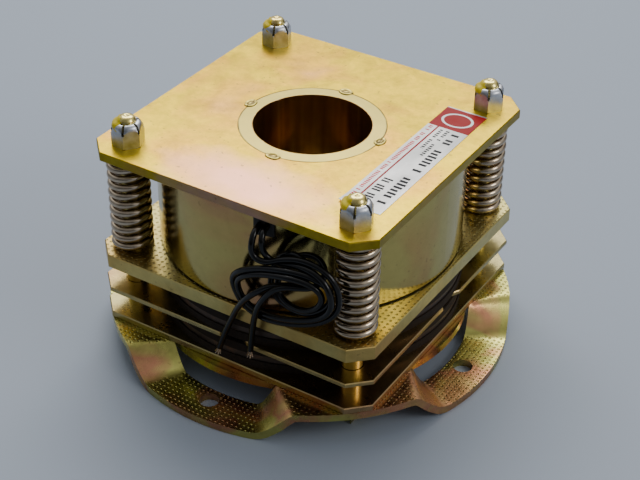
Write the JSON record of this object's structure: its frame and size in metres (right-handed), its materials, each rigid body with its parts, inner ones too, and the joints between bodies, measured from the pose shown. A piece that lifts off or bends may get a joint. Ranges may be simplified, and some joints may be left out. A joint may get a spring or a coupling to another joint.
{
  "type": "electromagnetic disc brake",
  "caption": "Spring-applied electromagnetic disc brake: friction discs clamped between square plates on guide studs by springs, released by a round magnet.",
  "frame": {"origin": "on the brake's axis, in the plane of the flange's four mounting lobes", "axes": "+Z along the axis towards the lock nuts, plate sides along X and Y, leads on the -Y side, label along +X"},
  "size_m": [0.192, 0.192, 0.1196],
  "materials": {
    "flange_zinc": "yellow zinc chromate, satin with iridescent tints",
    "plate_zinc": "yellow zinc chromate, satin, sheared edges",
    "armature_zinc": "yellow zinc chromate with a fine dimple pattern",
    "top_zinc": "yellow zinc chromate, satin",
    "can_zinc": "yellow zinc chromate, smooth and glossy",
    "pole_zinc": "yellow zinc chromate, turned",
    "stud_zinc": "yellow zinc chromate, bright turned",
    "nut_plated": "bright plated",
    "spring_steel": "dark bronze-brown oil-tempered wire",
    "hub_steel": "machined steel",
    "disc_steel": "dark steel",
    "friction_lining": "pressed friction material, matt",
    "copper": "enamelled copper wire",
    "bobbin_plastic": "moulded nylon",
    "coil_tape": "insulating tape",
    "potting_resin": "cast resin",
    "label_foil": "adhesive metal foil",
    "grommet_rubber": "moulded rubber",
    "lead_insulation": "soft black insulation",
    "tinned_strands": "tinned copper strands"
  },
  "bodies": {
    "magnet_frame": {"mounting_flange": "flange_zinc", "bottom_plate": "plate_zinc", "top_plate": "top_zinc", "yoke_can": "can_zinc", "pole_tube": "pole_zinc", "coil_bobbin": "bobbin_plastic", "coil_winding": "copper", "coil_wrap": "coil_tape", "coil_seal": "potting_resin", "blank_label": "label_foil", "lead_grommet": "grommet_rubber", "lead_a_start": "lead_insulation", "lead_b_start": "lead_insulation", "lead_a_tail": "lead_insulation", "lead_b_tail": "lead_insulation", "lead_a_bare_end": "tinned_strands", "lead_b_bare_end": "tinned_strands", "lead_knot": "lead_insulation", "guide_stud_front_left": "stud_zinc", "brake_spring_front_left": "spring_steel", "lock_nut_front_left": "nut_plated", "guide_stud_front_right": "stud_zinc", "brake_spring_front_right": "spring_steel", "lock_nut_front_right": "nut_plated", "guide_stud_back_right": "stud_zinc", "brake_spring_back_right": "spring_steel", "lock_nut_back_right": "nut_plated", "guide_stud_back_left": "stud_zinc", "brake_spring_back_left": "spring_steel", "lock_nut_back_left": "nut_plated"},
    "armature": {"armature_plate": "armature_zinc"},
    "intermediate": {"intermediate_plate": "plate_zinc"},
    "hub": {"drive_hub": "hub_steel"},
    "lower_disc": {"lower_disc_core": "disc_steel", "lower_disc_lower_lining": "friction_lining", "lower_disc_upper_lining": "friction_lining"},
    "upper_disc": {"upper_disc_core": "disc_steel", "upper_disc_lower_lining": "friction_lining", "upper_disc_upper_lining": "friction_lining"}
  },
  "joints": [
    {"name": "armature_lift", "type": "slide", "parent": "magnet_frame", "child": "armature", "axis": [0, 0, 1], "range_m": [0, 0.001], "stiffness_N_per_m": 92000, "springref_m": -0.0005, "deforming": ["brake_spring_front_left", "brake_spring_front_right", "brake_spring_back_right", "brake_spring_back_left"]},
    {"name": "intermediate_float", "type": "slide", "parent": "magnet_frame", "child": "intermediate", "axis": [0, 0, 1], "range_m": [0, 0.0005]},
    {"name": "hub_spin", "type": "hinge", "parent": "magnet_frame", "child": "hub", "pos_m": [0, 0, 0.0318], "axis": [0, 0, 1], "continuous": true},
    {"name": "upper_disc_float", "type": "slide", "parent": "hub", "child": "upper_disc", "axis": [0, 0, 1], "range_m": [0, 0.00075]},
    {"name": "lower_disc_float", "type": "slide", "parent": "hub", "child": "lower_disc", "axis": [0, 0, 1], "range_m": [0, 0.00025]}
  ],
  "couplings": [
    {"joint": "intermediate_float", "follows": "armature_lift", "ratio": 0.5},
    {"joint": "upper_disc_float", "follows": "armature_lift", "ratio": 0.75},
    {"joint": "lower_disc_float", "follows": "armature_lift", "ratio": 0.25}
  ]
}
